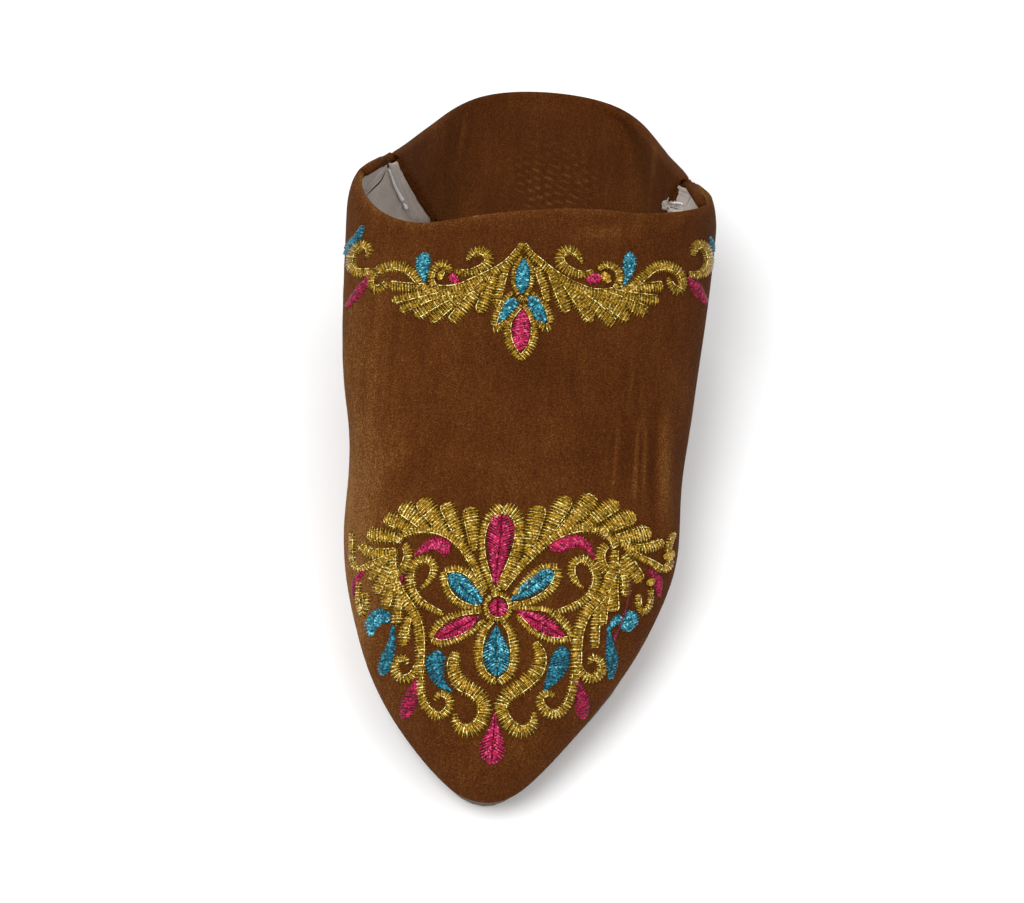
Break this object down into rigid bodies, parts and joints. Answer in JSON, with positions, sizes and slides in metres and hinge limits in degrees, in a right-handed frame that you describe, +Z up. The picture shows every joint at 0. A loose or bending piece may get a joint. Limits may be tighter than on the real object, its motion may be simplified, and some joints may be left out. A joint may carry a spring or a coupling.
{
  "type": "babouche slipper",
  "caption": "Pointed backless slipper with a deep vamp, a flat sole and its heel quarter folded inwards and trodden flat.",
  "frame": {"origin": "on the floor, under the middle of the slipper's length and width", "axes": "+Z up, -Y towards the toe, +Y towards the heel"},
  "size_m": [0.1072, 0.263, 0.066],
  "materials": {
    "sole_leather": "matt brown-olive sole leather with a cut edge",
    "sock_leather": "plain pale lining leather",
    "velvet": "short brown velvet pile with a soft sheen",
    "gold_thread": "glittering metallic gold embroidery thread",
    "red_thread": "satin crimson pink embroidery thread",
    "blue_thread": "satin turquoise embroidery thread",
    "white_thread": "thick matt white sewing thread",
    "lining_cloth": "plain grey-white woven lining"
  },
  "bodies": {
    "root": {"outsole": "sole_leather", "insole": "sock_leather", "upper_vamp": "velvet", "upper_quarter": "velvet"}
  },
  "joints": []
}
